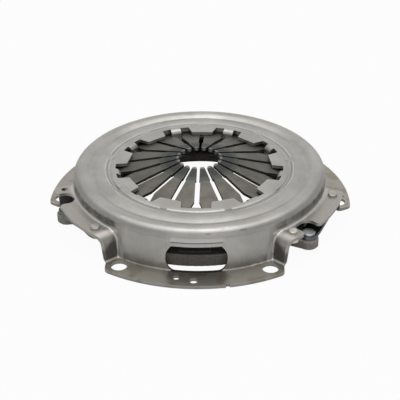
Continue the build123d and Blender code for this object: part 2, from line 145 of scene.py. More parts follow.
def makeTent():
    # a white tent round the clutch, brightest overhead, lit a little behind and in front
    world = bpy.data.worlds.new("lightTent")
    world.use_nodes = True
    tree = world.node_tree
    background = tree.nodes["Background"]
    background.inputs["Color"].default_value = tone(*studio["tentTone"])
    way = addNode(tree, "SeparateXYZ", {0: addNode(tree, "TexCoord").outputs["Generated"]}).outputs
    crown = smoothBand(tree, way["Z"], studio["crownStart"], studio["crownFull"], 0.0, studio["crownGlow"])
    back = smoothBand(tree, way["Y"], studio["backStart"], studio["backFull"], 0.0, studio["backGlow"])
    toFront = maths(tree, "MULTIPLY", way["Y"], -1.0)
    front = smoothBand(tree, toFront, studio["frontStart"], studio["frontFull"], 0.0, studio["frontGlow"])
    glow = maths(tree, "ADD", crown, maths(tree, "ADD", back, front))
    link(tree, maths(tree, "ADD", glow, studio["sideGlow"]), background.inputs["Strength"])
    bpy.context.scene.world = world


def makeFloor():
    bm = bmesh.new()
    bmesh.ops.create_grid(bm, x_segments=4, y_segments=4, size=studio["floorSize"] / 2)
    mesh = bpy.data.meshes.new("studioFloor")
    bm.to_mesh(mesh)
    bm.free()
    floor = bpy.data.objects.new("studioFloor", mesh)
    bpy.context.scene.collection.objects.link(floor)
    paper = bpy.data.materials.new("palePaper")
    paper.use_nodes = True
    tree = paper.node_tree
    tree.nodes.clear()
    pale = tone(*(studio["floorTone"],) * 3)
    diffuse = addNode(tree, "BsdfDiffuse", {"Color": pale})
    glow = addNode(tree, "Emission", {"Color": tone(1, 1, 1), "Strength": 1.0})
    seen = maths(tree, "MULTIPLY", addNode(tree, "LightPath").outputs["Is Camera Ray"], studio["floorGlow"])
    top = addNode(tree, "MixShader", {0: seen, 1: diffuse.outputs[0], 2: glow.outputs[0]})
    clear = addNode(tree, "BsdfTransparent")
    under = addNode(tree, "NewGeometry").outputs["Backfacing"]
    both = addNode(tree, "MixShader", {0: under, 1: top.outputs[0], 2: clear.outputs[0]})
    out = addNode(tree, "OutputMaterial", {"Surface": both.outputs[0]})
    mesh.materials.append(paper)


def makeSoftbox():
    box = studio["softbox"]
    data = bpy.data.lights.new("overheadSoftbox", "AREA")
    data.shape, data.size, data.energy = "DISK", box["size"], box["watts"]
    lamp = bpy.data.objects.new("overheadSoftbox", data)
    bpy.context.scene.collection.objects.link(lamp)
    lamp.location = box["place"]
    lamp.rotation_euler = (Vector(box["aim"]) - Vector(box["place"])).to_track_quat("-Z", "Y").to_euler()


makeCamera()
makeTent()
makeFloor()
makeSoftbox()
bpy.context.scene.view_settings.view_transform = "Standard"
print("camera, floor and lights are set")


lobes = {"first": -90.0, "pitch": 120.0}  # degrees round the axis


# shared shader effects
def startGroup(name, inputs, outputs):
    tree = bpy.data.node_groups.new(name, "ShaderNodeTree")
    for title, kind, value in inputs:
        socket = tree.interface.new_socket(title, in_out="INPUT", socket_type="NodeSocket" + kind)
        if value is not None:
            socket.default_value = value
    for title, kind in outputs:
        tree.interface.new_socket(title, in_out="OUTPUT", socket_type="NodeSocket" + kind)
    return tree, tree.nodes.new("NodeGroupInput").outputs, tree.nodes.new("NodeGroupOutput").inputs


def useGroup(tree, group, inputs):
    made = addNode(tree, "Group", node_tree=group)
    setInputs(tree, made, inputs)
    return made.outputs


def makeClutchSpace():
    # where a point lies: degrees from the nearest lobe's middle, radius and height in millimetres
    tree, given, out = startGroup(
        "clutchSpace", [("Place", "Vector", None)],
        [("Turn", "Float"), ("Side", "Float"), ("Radius", "Float"), ("Height", "Float"), ("Angle", "Float")])
    parts = addNode(tree, "SeparateXYZ", {0: given["Place"]}).outputs
    angle = maths(tree, "ARCTAN2", parts["Y"], parts["X"])
    degrees = maths(tree, "MULTIPLY", angle, 180 / pi)
    half = lobes["pitch"] / 2
    turn = maths(tree, "WRAP", maths(tree, "SUBTRACT", degrees, lobes["first"]), half, -half)
    flat = addNode(tree, "CombineXYZ", {"X": parts["X"], "Y": parts["Y"]}).outputs[0]
    length = addNode(tree, "VectorMath", {0: flat}, operation="LENGTH").outputs["Value"]
    link(tree, turn, out["Turn"])
    link(tree, maths(tree, "ABSOLUTE", turn), out["Side"])
    link(tree, maths(tree, "MULTIPLY", length, 1000.0), out["Radius"])
    link(tree, maths(tree, "MULTIPLY", parts["Z"], 1000.0), out["Height"])
    link(tree, angle, out["Angle"])
    return tree


def makeFineGrain():
    # uneven skin of bare metal: broad patches and a fine grain, both sized in millimetres
    tree, given, out = startGroup(
        "fineGrain",
        [("Place", "Vector", None), ("Patch Size", "Float", 25.0), ("Grain Size", "Float", 0.5),
         ("Detail", "Float", 3.0)],
        [("Patch", "Float"), ("Grain", "Float")])
    for title, size in (("Patch", "Patch Size"), ("Grain", "Grain Size")):
        scale = maths(tree, "DIVIDE", 1000.0, given[size])
        looks = {"Vector": given["Place"], "Scale": scale, "Detail": given["Detail"], "Roughness": 0.6}
        link(tree, addNode(tree, "TexNoise", looks).outputs["Fac"], out[title])
    return tree


def makeStreaks():
    # lines left by drawing or turning: stretched noise, many across and few along
    tree, given, out = startGroup(
        "streaks",
        [("Across", "Float", 0.0), ("Along", "Float", 0.0), ("Width", "Float", 0.5),
         ("Length", "Float", 20.0)],
        [("Streak", "Float")])
    across = maths(tree, "DIVIDE", given["Across"], given["Width"])
    along = maths(tree, "DIVIDE", given["Along"], given["Length"])
    place = addNode(tree, "CombineXYZ", {"X": across, "Y": along}).outputs[0]
    noise = addNode(tree, "TexNoise", {"Vector": place, "Scale": 1.0, "Detail": 3.0, "Roughness": 0.65})
    link(tree, noise.outputs["Fac"], out["Streak"])
    return tree


def makeEdgeWearAndSheen():
    # bright along sharp corners, partly rubbed wear and partly a painted edge highlight, broken up by a grain
    flat, worn, grainScale = 0.998, 0.90, 450.0
    tree, given, out = startGroup(
        "edgeWearAndSheen",
        [("Place", "Vector", None), ("Width", "Float", 0.0006), ("Breakup", "Float", 0.5)],
        [("WearAndSheen", "Float")])
    soft = addNode(tree, "Bevel", {"Radius": given["Width"]}, samples=4).outputs[0]
    hard = addNode(tree, "NewGeometry").outputs["Normal"]
    same = addNode(tree, "VectorMath", {0: soft, 1: hard}, operation="DOT_PRODUCT").outputs["Value"]
    noise = addNode(tree, "TexNoise", {"Vector": given["Place"], "Scale": grainScale, "Detail": 2.0})
    broken = maths(tree, "MULTIPLY", noise.outputs["Fac"], given["Breakup"])
    kept = maths(tree, "SUBTRACT", 1.0, broken)
    link(tree, maths(tree, "MULTIPLY", smoothBand(tree, same, flat, worn), kept), out["WearAndSheen"])
    return tree


def makeStains():
    # scattered soft blotches of oil and heat, sized in millimetres
    tree, given, out = startGroup(
        "stains",
        [("Place", "Vector", None), ("Size", "Float", 12.0), ("Start", "Float", 0.5), ("End", "Float", 0.7)],
        [("Stain", "Float")])
    scale = maths(tree, "DIVIDE", 1000.0, given["Size"])
    looks = {"Vector": given["Place"], "Scale": scale, "Detail": 4.0, "Roughness": 0.55, "Distortion": 0.4}
    noise = addNode(tree, "TexNoise", looks)
    made = addNode(tree, "MapRange", {"Value": noise.outputs["Fac"], "From Min": given["Start"],
                                      "From Max": given["End"]}, interpolation_type="SMOOTHSTEP")
    link(tree, made.outputs["Result"], out["Stain"])
    return tree


clutchSpace = makeClutchSpace()
fineGrain = makeFineGrain()
streaks = makeStreaks()
edgeWearAndSheen = makeEdgeWearAndSheen()
stains = makeStains()
print("shared shader effects are built")


def startMaterial(name, metallic=1.0):
    made = bpy.data.materials.new(name)
    made.use_nodes = True
    tree = made.node_tree
    shader = tree.nodes["Principled BSDF"]
    shader.inputs["Metallic"].default_value = metallic
    place = addNode(tree, "TexCoord").outputs["Object"]
    return made, tree, shader, place


def finishMaterial(tree, shader, colour, roughness, height, strength, distance):
    link(tree, colour, shader.inputs["Base Color"])
    link(tree, roughness, shader.inputs["Roughness"])
    bump = addNode(tree, "Bump", {"Height": height, "Strength": strength, "Distance": distance})
    link(tree, bump.outputs[0], shader.inputs["Normal"])


def patchColour(tree, grain, looks, start, end):
    return mixColour(tree, smoothBand(tree, grain, start, end), looks["dark"], looks["light"])


def addTint(tree, body, mask, share, tint):
    return mixColour(tree, maths(tree, "MULTIPLY", mask, share), body, tint)


# pressed cover
coverSteel = {
    "light": tone(0.57, 0.56, 0.535), "dark": tone(0.485, 0.475, 0.45),
    "earTint": tone(0.50, 0.475, 0.44), "flangeTint": tone(0.45, 0.435, 0.395),
    # the pale tone is a painted highlight on the cover, and also the tint of rubbed edges
    "stain": tone(0.30, 0.25, 0.18), "highlightAndBurnish": tone(0.90, 0.89, 0.86),
    "patchSize": 28.0, "grainSize": 0.45, "mottleSize": 6.0, "blotchSize": 13.0,
    "drawnWidth": 0.35, "drawnLength": 14.0, "turnedWidth": 0.5, "turnedLength": 60.0, "lineRadius": 103.0,
    "wearWidth": 0.0008, "wearBreakup": 0.5, "wearAndSheenShine": 0.6, "wearPolish": 0.12,
    "roughLow": 0.33, "roughHigh": 0.46, "relief": 0.25, "reliefDepth": 0.00004, "lineRelief": 0.8,
    # stains away from the flange and on it
    "stainLow": 0.06, "stainHigh": 0.55,
    # what is left of the tone in each darkened place (painted shade on the risers, above the ears, at the
    # foot and in the groove), and the painted light that lifts the skirt
    "mottleShade": 0.82, "lineShade": 0.90, "skirtPaintedLight": 1.16, "riserShade": 0.34, "earBendShade": 0.40,
    "mottleLow": 0.6, "footShade": 0.70, "grooveShade": 0.60,
    # how far each painted highlight turns bright
    "facetShine": 0.6, "earLineShine": 0.5, "tipShine": 1.0, "grooveShine": 0.45,
    # the facet beside each upright crease: degrees at its edge, its width at the foot and at the top
    "creaseSide": 34.2, "creaseWidth": 3.0, "creaseTip": 0.3, "creaseFoot": 2.6, "creaseTop": 21.5,
    "creaseSoft": 0.3,
    # a riser leans, so its painted shade ends higher further in
    "riserRadius": 105.0, "riserLean": 0.9,
    "grooveTurn": 17.0, "grooveTurnSoft": 0.4, "tabPitch": 40.0, "firstCurledTab": -10.0,
}
coverZones = {  # where each starts and where it is full, in millimetres or in degrees from a lobe's middle
    "inSkirt": (106.0, 105.0), "underShoulder": (31.0, 27.0), "lowSkirt": (14.0, 4.0),
    "liftedSkirt": (31.5, 26.0), "skirtFoot": (12.0, 3.5), "flangeHeight": (5.5, 2.8),
    "earRadius": (104.0, 106.0), "earHeight": (14.0, 20.0),
    "riserRadius": (103.6, 104.8), "riserSide": (31.0, 33.0), "riserFoot": (3.0, 4.6),
    "riserTop": (24.5, 16.5),
    "aboveEarSide": (34.0, 38.5), "aboveEarLow": (25.4, 26.4), "aboveEarHigh": (33.6, 30.0),
    "facetSide": (34.6, 34.0), "facetTop": (21.5, 17.0), "earLineSide": (36.0, 38.0),
    "annulus": (33.0, 33.8), "patch": (0.35, 0.65), "line": (0.35, 0.70),
}
coverBands = {  # from, to and how soft the sides are
    "aboveEarRadius": (100.6, 103.4, 0.6),
    "earLineHeight": (24.0, 25.0, 0.2), "earLineRadius": (101.8, 104.4, 0.4),
    "tipSide": (34.8, 37.2, 0.4), "tipHeight": (22.8, 24.8, 0.5), "tipRadius": (101.0, 105.4, 0.5),
    # the first band is painted shade in the groove, the second a painted highlight on its edge
    "grooveShadeBand": (74.3, 75.1, 0.25), "grooveEdge": (75.9, 76.5, 0.25),
}
markSoft = {"turn": 0.5, "radius": 0.3, "height": 0.25}
darkMarksAndShadows = [  # from and to in degrees from a lobe's middle, in radius and in height, then what is left
    ((-9.8, 12.0), (101.0, 106.0), (25.0, 26.6), 0.30),  # painted shadow under the swelling over each window
    ((4.6, 7.0), (99.0, 102.0), (32.6, 33.5), 0.66),
    ((19.6, 22.6), (99.0, 102.0), (33.0, 33.8), 0.66),
    ((-24.0, -21.0), (99.0, 103.0), (27.4, 28.0), 0.80),
    ((14.0, 31.0), (100.0, 103.0), (29.6, 30.1), 0.86),
    ((-30.0, -13.0), (100.0, 103.0), (28.6, 29.1), 0.86),
    ((-2.0, 5.0), (106.8, 110.5), (2.0, 3.0), 0.72),  # soot below the window
    ((-11.0, 12.8), (101.0, 106.5), (1.0, 2.2), 0.55),  # painted shade on the window's sill
]
paintedHighlightSpots = [  # painted highlights: the same, then how far each place turns bright
    ((-9.8, 12.0), (101.0, 106.0), (27.0, 29.8), 0.30),  # painted highlight on the swelling itself
    ((-9.8, 12.0), (101.0, 106.0), (22.2, 25.4), 0.14),  # painted highlight on the land between it and the window
]


def zone(tree, value, name):
    return smoothBand(tree, value, *coverZones[name])


def stripe(tree, value, name):
    return band(tree, value, *coverBands[name])


def markMask(tree, at, mark):
    turns, radii, heights = mark[:3]
    return product(tree, band(tree, at["Turn"], *turns, markSoft["turn"]),
                   band(tree, at["Radius"], *radii, markSoft["radius"]),
                   band(tree, at["Height"], *heights, markSoft["height"]))


def grooveMask(tree, at, name):
    # rings beside the upper wire's groove, left out at the middle of each wide tab
    degrees = maths(tree, "MULTIPLY", at["Angle"], 180 / pi)
    turn = maths(tree, "SUBTRACT", degrees, coverSteel["firstCurledTab"])
    half, end, soft = coverSteel["tabPitch"] / 2, coverSteel["grooveTurn"], coverSteel["grooveTurnSoft"]
    away = maths(tree, "ABSOLUTE", maths(tree, "WRAP", turn, half, -half))
    return product(tree, smoothBand(tree, away, end + soft, end - soft), stripe(tree, at["Radius"], name),
                   zone(tree, at["Height"], "annulus"))


def coverLines(tree, at, onSkirt):
    # lines left by drawing, upright on the skirt and round the top
    around = maths(tree, "MULTIPLY", at["Angle"], coverSteel["lineRadius"])
    drawn = useGroup(tree, streaks, {
        "Across": around, "Along": at["Height"], "Width": coverSteel["drawnWidth"],
        "Length": coverSteel["drawnLength"]})["Streak"]
    turned = useGroup(tree, streaks, {
        "Across": at["Radius"], "Along": around, "Width": coverSteel["turnedWidth"],
        "Length": coverSteel["turnedLength"]})["Streak"]
    return addNode(tree, "Mix", {0: onSkirt, 2: turned, 3: drawn}).outputs[0]


def tintEarsAndFlange(tree, body, at, place):
    # ears and bolting flange are browner, the flange has stains
    earHeight = zone(tree, at["Height"], "earHeight")
    ears = maths(tree, "MULTIPLY", zone(tree, at["Radius"], "earRadius"), earHeight)
    flange = zone(tree, at["Height"], "flangeHeight")
    body = mixColour(tree, ears, body, coverSteel["earTint"])
    body = mixColour(tree, flange, body, coverSteel["flangeTint"])
    looks = {"Place": place, "Size": coverSteel["blotchSize"], "Start": 0.50, "End": 0.64}
    blotch = useGroup(tree, stains, looks)["Stain"]
    share = smoothBand(tree, flange, 0.0, 1.0, coverSteel["stainLow"], coverSteel["stainHigh"])
    return addTint(tree, body, blotch, share, coverSteel["stain"])


def paintedShadeMasks(tree, at, onSkirt, mottle):
    # painted shade on the risers, in the corner above the ears, along the skirt's foot and in the groove;
    # above the ears it is mottled and partly oil marks
    side, radius, height = at["Side"], at["Radius"], at["Height"]
    outward = maths(tree, "SUBTRACT", radius, coverSteel["riserRadius"])
    leaning = maths(tree, "ADD", height, maths(tree, "MULTIPLY", outward, coverSteel["riserLean"]))
    riser = product(tree, zone(tree, radius, "riserRadius"), zone(tree, side, "riserSide"),
                    zone(tree, height, "riserFoot"), zone(tree, leaning, "riserTop"))
    aboveEar = product(tree, zone(tree, side, "aboveEarSide"), stripe(tree, radius, "aboveEarRadius"),
                       zone(tree, height, "aboveEarLow"), zone(tree, height, "aboveEarHigh"),
                       smoothBand(tree, mottle, 0.0, 1.0, coverSteel["mottleLow"], 1.0))
    foot = maths(tree, "MULTIPLY", onSkirt, zone(tree, height, "skirtFoot"))
    return {"riserShade": riser, "earBendShade": aboveEar, "footShade": foot,
            "grooveShade": grooveMask(tree, at, "grooveShadeBand")}


def paintedHighlightMasks(tree, at, onSkirt):
    # painted highlights on the facet beside each upright crease, on the bend behind each ear with its corner,
    # and on the groove's edge
    side, radius, height = at["Side"], at["Radius"], at["Height"]
    soft = coverSteel["creaseSoft"]
    width = smoothBand(tree, height, coverSteel["creaseFoot"], coverSteel["creaseTop"],
                       coverSteel["creaseWidth"], coverSteel["creaseTip"])
    inside = maths(tree, "SUBTRACT", side, maths(tree, "SUBTRACT", coverSteel["creaseSide"], width))
    facet = product(tree, onSkirt, smoothBand(tree, inside, -soft, soft), zone(tree, side, "facetSide"),
                    zone(tree, height, "facetTop"))
    earLine = product(tree, zone(tree, side, "earLineSide"), stripe(tree, height, "earLineHeight"),
                      stripe(tree, radius, "earLineRadius"))
    tip = product(tree, stripe(tree, side, "tipSide"), stripe(tree, height, "tipHeight"),
                  stripe(tree, radius, "tipRadius"))
    return {"facetShine": facet, "earLineShine": earLine, "tipShine": tip,
            "grooveShine": grooveMask(tree, at, "grooveEdge")}


def makeCoverSteel():
    made, tree, shader, place = startMaterial("pressedSteel")
    at = useGroup(tree, clutchSpace, {"Place": place})
    height = at["Height"]
    grain = useGroup(tree, fineGrain, {"Place": place, "Patch Size": coverSteel["patchSize"],
                                       "Grain Size": coverSteel["grainSize"]})
    mottle = useGroup(tree, stains, {
        "Place": place, "Size": coverSteel["mottleSize"], "Start": 0.35, "End": 0.65})["Stain"]
    inSkirt = zone(tree, at["Radius"], "inSkirt")
    onSkirt = maths(tree, "MULTIPLY", zone(tree, height, "underShoulder"), inSkirt)
    line = coverLines(tree, at, onSkirt)

    body = patchColour(tree, grain["Patch"], coverSteel, *coverZones["patch"])
    body = tintEarsAndFlange(tree, body, at, place)
    # mottled patches on the skirt, darker towards its foot
    lowSkirtMottle = product(tree, mottle, onSkirt, zone(tree, height, "lowSkirt"))
    body = shade(tree, body, lowSkirtMottle, coverSteel["mottleShade"])
    body = shade(tree, body, zone(tree, line, "line"), coverSteel["lineShade"])
    # painted light: the skirt below its shoulder made lighter
    body = shade(tree, body, maths(tree, "MULTIPLY", inSkirt, zone(tree, height, "liftedSkirt")),
                 coverSteel["skirtPaintedLight"])
    # painted shade on the risers, above the ears, at the skirt's foot and in the groove
    for name, mask in paintedShadeMasks(tree, at, onSkirt, mottle).items():
        body = shade(tree, body, mask, coverSteel[name])
    # dark flecks and soot, with painted shadow under each window's swelling and painted shade on its sill
    for mark in darkMarksAndShadows:
        body = shade(tree, body, markMask(tree, at, mark), mark[3])
    # painted highlights beside the creases, on the ear bends and their corners and at the groove's edge
    for name, mask in paintedHighlightMasks(tree, at, onSkirt).items():
        body = addTint(tree, body, mask, coverSteel[name], coverSteel["highlightAndBurnish"])
    # painted highlights on each window's swelling and on the land below it
    for mark in paintedHighlightSpots:
        body = addTint(tree, body, markMask(tree, at, mark), mark[3], coverSteel["highlightAndBurnish"])
    # rubbed wear and painted highlight along sharp corners
    wearAndSheen = useGroup(tree, edgeWearAndSheen, {"Place": place, "Width": coverSteel["wearWidth"],
                                     "Breakup": coverSteel["wearBreakup"]})["WearAndSheen"]
    body = addTint(tree, body, wearAndSheen, coverSteel["wearAndSheenShine"], coverSteel["highlightAndBurnish"])

    rough = smoothBand(tree, grain["Grain"], 0.25, 0.75, coverSteel["roughLow"], coverSteel["roughHigh"])
    rough = maths(tree, "SUBTRACT", rough, maths(tree, "MULTIPLY", wearAndSheen, coverSteel["wearPolish"]))
    relief = maths(tree, "ADD", grain["Grain"], maths(tree, "MULTIPLY", line, coverSteel["lineRelief"]))
    finishMaterial(tree, shader, body, rough, relief, coverSteel["relief"], coverSteel["reliefDepth"])
    return made


# diaphragm spring
springSteel = {
    "dark": tone(0.150, 0.144, 0.126), "light": tone(0.200, 0.193, 0.170),
    "hardened": tone(0.075, 0.079, 0.076), "blued": tone(0.110, 0.120, 0.112),
    "tipEnd": tone(0.30, 0.30, 0.29), "worn": tone(0.50, 0.50, 0.48),
    "patchSize": 9.0, "grainSize": 0.35, "patchDrift": 1.5,
    # radii where each tone starts and is full
    "bluedZone": (34.0, 31.5), "hardenedZone": (30.5, 27.0), "tipZone": (19.5, 17.2),
    "rubbedStart": (68.0, 69.5), "rubbedEnd": (73.0, 71.5), "rubbedShine": 0.6,
    "wearWidth": 0.0006, "wearBreakup": 0.4, "wearAndSheenShine": 0.45,
    "lineRadius": 60.0, "lineWidth": 0.4, "lineLength": 25.0, "lineRelief": 0.5,
    "roughLow": 0.42, "roughHigh": 0.56, "relief": 0.25, "reliefDepth": 0.00004,
}


def makeSpringSteel():
    made, tree, shader, place = startMaterial("springSteel")
    at = useGroup(tree, clutchSpace, {"Place": place})
    radius = at["Radius"]
    grain = useGroup(tree, fineGrain, {"Place": place, "Patch Size": springSteel["patchSize"],
                                       "Grain Size": springSteel["grainSize"]})
    body = patchColour(tree, grain["Patch"], springSteel, 0.3, 0.7)
    drifted = maths(tree, "ADD", radius, maths(tree, "MULTIPLY", grain["Patch"], springSteel["patchDrift"]))
    for value, zoneName, tint in ((drifted, "bluedZone", "blued"), (drifted, "hardenedZone", "hardened"),
                                  (radius, "tipZone", "tipEnd")):
        body = mixColour(tree, smoothBand(tree, value, *springSteel[zoneName]), body, springSteel[tint])
    rubbed = maths(tree, "MULTIPLY", smoothBand(tree, radius, *springSteel["rubbedStart"]),
                   smoothBand(tree, radius, *springSteel["rubbedEnd"]))
    body = addTint(tree, body, rubbed, springSteel["rubbedShine"], springSteel["worn"])
    # rubbed wear and painted highlight along sharp corners
    wearAndSheen = useGroup(tree, edgeWearAndSheen, {"Place": place, "Width": springSteel["wearWidth"],
                                     "Breakup": springSteel["wearBreakup"]})["WearAndSheen"]
    body = addTint(tree, body, wearAndSheen, springSteel["wearAndSheenShine"], springSteel["worn"])
    around = maths(tree, "MULTIPLY", at["Angle"], springSteel["lineRadius"])
    line = useGroup(tree, streaks, {"Across": radius, "Along": around, "Width": springSteel["lineWidth"],
                                    "Length": springSteel["lineLength"]})["Streak"]
    rough = smoothBand(tree, grain["Grain"], 0.25, 0.75, springSteel["roughLow"], springSteel["roughHigh"])
    height = maths(tree, "ADD", grain["Grain"], maths(tree, "MULTIPLY", line, springSteel["lineRelief"]))
    finishMaterial(tree, shader, body, rough, height, springSteel["relief"], springSteel["reliefDepth"])
    return made


# cast pressure plate
castIron = {
    "dark": tone(0.125, 0.118, 0.105), "light": tone(0.23, 0.22, 0.20), "ground": tone(0.42, 0.41, 0.39),
    "rust": tone(0.16, 0.12, 0.08), "metallic": 0.55, "patchSize": 7.0, "grainSize": 0.9, "rustSize": 10.0,
    # heights and radii where each place starts and is full
    "insideHeight": (12.6, 14.2), "insideRadius": (99.0, 97.0), "lugZone": (101.0, 106.0),
    "groundZone": (3.6, 3.3),
    "insideShade": 0.10, "lugLift": 1.7, "rustShare": 0.5,
    "wearWidth": 0.0008, "wearBreakup": 0.6, "wearAndSheenShine": 0.35,
    "lineRadius": 80.0, "lineWidth": 0.25, "lineLength": 90.0, "lineRelief": 0.25, "patchRelief": 0.6,
    "roughLow": 0.62, "roughHigh": 0.8, "groundRough": 0.34, "relief": 0.6, "reliefDepth": 0.00025,
}


def makeCastIron():
    made, tree, shader, place = startMaterial("castIron", metallic=castIron["metallic"])
    at = useGroup(tree, clutchSpace, {"Place": place})
    radius, height = at["Radius"], at["Height"]
    grain = useGroup(tree, fineGrain, {"Place": place, "Patch Size": castIron["patchSize"],
                                       "Grain Size": castIron["grainSize"]})
    body = patchColour(tree, grain["Grain"], castIron, 0.3, 0.7)
    rust = useGroup(tree, stains, {
        "Place": place, "Size": castIron["rustSize"], "Start": 0.55, "End": 0.72})["Stain"]
    body = addTint(tree, body, rust, castIron["rustShare"], castIron["rust"])

    # painted shade where the cover hides the plate, lighter on the lugs outside the skirt
    inside = maths(tree, "MULTIPLY", smoothBand(tree, height, *castIron["insideHeight"]),
                   smoothBand(tree, radius, *castIron["insideRadius"]))
    body = shade(tree, body, inside, castIron["insideShade"])
    body = shade(tree, body, smoothBand(tree, radius, *castIron["lugZone"]), castIron["lugLift"])
    ground = smoothBand(tree, height, *castIron["groundZone"])
    body = mixColour(tree, ground, body, castIron["ground"])
    # rubbed wear and painted highlight along sharp corners
    wearAndSheen = useGroup(tree, edgeWearAndSheen, {"Place": place, "Width": castIron["wearWidth"],
                                     "Breakup": castIron["wearBreakup"]})["WearAndSheen"]
    body = addTint(tree, body, wearAndSheen, castIron["wearAndSheenShine"], castIron["ground"])

    # rings left by grinding on the face, a cast skin elsewhere
    around = maths(tree, "MULTIPLY", at["Angle"], castIron["lineRadius"])
    rings = useGroup(tree, streaks, {"Across": radius, "Along": around, "Width": castIron["lineWidth"],
                                     "Length": castIron["lineLength"]})["Streak"]
    broad = maths(tree, "MULTIPLY", grain["Patch"], castIron["patchRelief"])
    cast = maths(tree, "ADD", grain["Grain"], broad)
    shallow = maths(tree, "MULTIPLY", rings, castIron["lineRelief"])
    relief = addNode(tree, "Mix", {0: ground, 2: cast, 3: shallow}).outputs[0]
    skin = smoothBand(tree, grain["Grain"], 0.2, 0.8, castIron["roughLow"], castIron["roughHigh"])
    rough = addNode(tree, "Mix", {0: ground, 2: skin, 3: castIron["groundRough"]}).outputs[0]
    finishMaterial(tree, shader, body, rough, relief, castIron["relief"], castIron["reliefDepth"])
    return made


# wire rings, straps and rivets
plainSteel = {
    "grainSize": 0.3, "patchSize": 4.0, "wearWidth": 0.0004, "wearBreakup": 0.3,
    "worn": tone(0.75, 0.75, 0.74), "relief": 0.2, "reliefDepth": 0.00003,
}


def makePlainSteel(name, dark, light, roughLow, roughHigh, wearAndSheenShine, patch=plainSteel["patchSize"]):
    made, tree, shader, place = startMaterial(name)
    grain = useGroup(tree, fineGrain, {
        "Place": place, "Patch Size": patch, "Grain Size": plainSteel["grainSize"]})
    looks = {"dark": tone(*dark), "light": tone(*light)}
    body = patchColour(tree, grain["Patch"], looks, 0.3, 0.7)
    # rubbed wear and painted highlight along sharp corners
    wearAndSheen = useGroup(tree, edgeWearAndSheen, {"Place": place, "Width": plainSteel["wearWidth"],
                                     "Breakup": plainSteel["wearBreakup"]})["WearAndSheen"]
    body = addTint(tree, body, wearAndSheen, wearAndSheenShine, plainSteel["worn"])
    rough = smoothBand(tree, grain["Grain"], 0.25, 0.75, roughLow, roughHigh)
    finishMaterial(tree, shader, body, rough, grain["Grain"], plainSteel["relief"], plainSteel["reliefDepth"])
    return made


finishes = {  # two tones, lowest and highest roughness, how far edges shine with wear and painted highlight, patch size
    "ringWire": makePlainSteel("ringWire", (0.24, 0.24, 0.24), (0.32, 0.32, 0.31), 0.28, 0.40, 0.3),
    "strapSteel": makePlainSteel("strapSteel", (0.13, 0.135, 0.15), (0.20, 0.205, 0.22),
                                 0.34, 0.46, 0.6, 8.0),
    "earRivet": makePlainSteel("earRivet", (0.50, 0.49, 0.46), (0.60, 0.59, 0.56), 0.30, 0.42, 0.4),
    "lugRivet": makePlainSteel("lugRivet", (0.50, 0.53, 0.54), (0.60, 0.63, 0.64), 0.30, 0.44, 0.5),
    "balanceRivet": makePlainSteel("balanceRivet", (0.80, 0.78, 0.72), (0.90, 0.88, 0.83),
                                   0.32, 0.45, 0.3),
    "coverSteel": makeCoverSteel(),
    "springSteel": makeSpringSteel(),
    "castIron": makeCastIron(),
}
print("finishes are made:", ", ".join(finishes))


def dress(piece, finish):
    if not piece.material_slots:
        piece.data.materials.append(None)
    for slot in piece.material_slots:
        slot.link = "OBJECT"
        slot.material = finishes[finish]


# the diaphragm spring, one half finger at each kind of slot, mirrored and turned round the axis
spring = {
    "fingers": 18, "firstSlot": 90.0, "sheet": 2.6, "slope": 0.245,
    "fulcrumRadius": 70.6, "fulcrumHeight": 27.951,
    "tipRadius": 16.2, "tipCorner": 1.3, "tipSlot": 1.15, "slot": 1.95, "slotStep": 31.3,
    "holeAt": 64.5, "holeRadius": 4.0, "taperStart": 53.9, "windowStart": 61.9, "windowEnd": 67.1,
    "windowHalf": 5.0, "windowBack": 1.2, "flatRadius": 72.0, "slotColumns": 3, "columns": 9,
    "edgeWidth": 0.22, "edgeSteps": 2, "edgeAngle": 50, "squashKeep": 0.09,
    # radii of the mesh's rows, closest where a slot changes its width
    "rows": [16.2, 16.35, 16.7, 17.1, 17.5, 20, 23, 26, 29, 31.1, 31.5, 34, 38, 42, 46, 50, 53.9, 56, 58,
             60, 61.0, 61.6, 62.4, 63.4, 64.5, 65.9, 66.5, 66.9, 67.1, 69, 72, 75, 78, 82, 86, 90, 94],
}


def slotHalf(radius, window):
    # half width of a slot at a radius, in millimetres
    if radius < spring["slotStep"]:
        lift = spring["tipRadius"] + spring["tipCorner"] - radius
        corner = spring["tipCorner"] - sqrt(max(0, spring["tipCorner"] ** 2 - lift ** 2)) if lift > 0 else 0
        return spring["tipSlot"] + corner
    if window and radius > spring["taperStart"]:
        opened = min(1.0, (radius - spring["taperStart"]) / (spring["windowStart"] - spring["taperStart"]))
        half = spring["slot"] + (spring["windowHalf"] - spring["slot"]) * opened
        corner = spring["windowBack"]
        outer = radius - spring["windowEnd"] + corner
        if outer > 0:
            half += sqrt(corner ** 2 - min(outer, corner) ** 2) - corner
        return half
    away = spring["holeAt"] - radius
    if not window and away < spring["holeRadius"]:
        return max(spring["slot"], sqrt(spring["holeRadius"] ** 2 - away ** 2))
    return spring["slot"]


